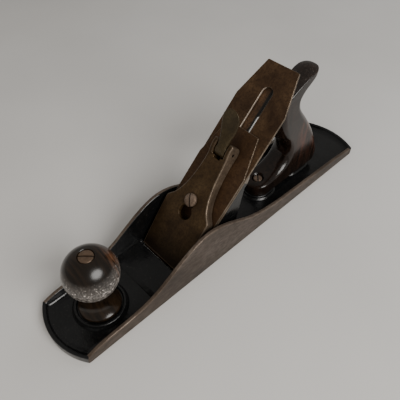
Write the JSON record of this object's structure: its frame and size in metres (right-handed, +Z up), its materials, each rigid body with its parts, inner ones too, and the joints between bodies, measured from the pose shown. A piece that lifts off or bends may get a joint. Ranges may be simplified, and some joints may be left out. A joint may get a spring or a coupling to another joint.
{
  "type": "bench plane",
  "caption": "Iron-bodied bench plane with an adjustable frog, screw-adjusted cutter and chip breaker, cam-locked lever cap, round front knob and curved rear handle.",
  "frame": {"origin": "middle of the bounding box, on the flat sole", "axes": "+X toward the toe, +Y toward the user's left hand side, +Z up away from the sole"},
  "size_m": [0.3556, 0.0636, 0.1351],
  "materials": {
    "japanned_iron": "glossy black baked paint inside, worn brown-grey iron outside",
    "rusty_steel": "satin, brown patina",
    "cap_iron": "satin, brown patina",
    "worn_steel": "satin, light rust",
    "worn_brass": "dull, tarnished",
    "dark_wood": "glossy dark varnish, worn"
  },
  "bodies": {
    "body": {"plane_body": "japanned_iron", "frog_screw_left": "worn_steel", "frog_screw_right": "worn_steel", "frog_washer_left": "worn_steel", "frog_washer_right": "worn_steel", "knob": "dark_wood", "knob_rod": "worn_steel", "knob_nut": "worn_brass", "tote": "dark_wood", "tote_rod": "worn_steel", "tote_nut": "worn_brass", "tote_toe_screw": "worn_steel"},
    "frog_seat": {"frog": "japanned_iron", "frog_clip": "rusty_steel", "clip_screw": "worn_steel", "depth_stud": "worn_steel", "yoke_pin": "worn_steel", "lateral_rivet": "worn_steel", "lever_cap_screw": "worn_steel"},
    "adjusting_screw": {"frog_adjusting_screw": "worn_steel"},
    "iron_carrier": {"stack_screw": "rusty_steel"},
    "iron": {"cutter": "rusty_steel", "chip_breaker": "rusty_steel"},
    "wheel": {"depth_wheel": "worn_brass"},
    "yoke": {"depth_yoke": "rusty_steel"},
    "lateral": {"lateral_lever": "rusty_steel", "lateral_roller": "worn_steel", "roller_pin": "worn_steel"},
    "cap": {"lever_cap": "cap_iron", "cap_spring": "rusty_steel", "spring_rivet": "worn_steel", "cam_pin": "worn_steel"},
    "cam": {"cam_lever": "cap_iron"}
  },
  "joints": [
    {"name": "frog_slide", "type": "slide", "parent": "body", "child": "frog_seat", "axis": [1, 0, 0], "range_m": [-0.0015, 0.0015]},
    {"name": "adjusting_screw_turn", "type": "hinge", "parent": "frog_seat", "child": "adjusting_screw", "pos_m": [0.0057, 0, 0.0077], "axis": [1, 0, 0], "range_deg": [-426, 426]},
    {"name": "cutter_depth", "type": "slide", "parent": "frog_seat", "child": "iron_carrier", "axis": [0.7071, 0, -0.7071], "range_m": [-0.0025, 0.001]},
    {"name": "cutter_skew", "type": "hinge", "parent": "iron_carrier", "child": "iron", "pos_m": [0.00402, 0, 0.06717], "axis": [0.7071, 0, 0.7071], "range_deg": [-1.15, 1.15]},
    {"name": "depth_wheel_turn", "type": "hinge", "parent": "frog_seat", "child": "wheel", "pos_m": [-0.01, 0, 0.03549], "axis": [1, 0, 0], "range_deg": [-696, 279]},
    {"name": "yoke_tilt", "type": "hinge", "parent": "frog_seat", "child": "yoke", "pos_m": [0.0012, 0, 0.04879], "axis": [0, 1, 0], "range_deg": [-8.9, 3.6]},
    {"name": "lateral_swing", "type": "hinge", "parent": "frog_seat", "child": "lateral", "pos_m": [-0.01365, 0, 0.08485], "axis": [0.7071, 0, 0.7071], "range_deg": [-4.93, 4.93]},
    {"name": "cap_slide", "type": "slide", "parent": "frog_seat", "child": "cap", "axis": [-0.7071, 0, 0.7071], "range_m": [0, 0.0115]},
    {"name": "cam_lift", "type": "hinge", "parent": "cap", "child": "cam", "pos_m": [0.00035, 0, 0.08613], "axis": [0, 1, 0], "range_deg": [0, 76]}
  ],
  "couplings": [
    {"joint": "adjusting_screw_turn", "follows": "frog_slide", "rad_per_m": 4947.4},
    {"joint": "depth_wheel_turn", "follows": "cutter_depth", "rad_per_m": 4846},
    {"joint": "yoke_tilt", "follows": "cutter_depth", "rad_per_m": 61.35},
    {"joint": "lateral_swing", "follows": "cutter_skew", "ratio": -4.227}
  ]
}
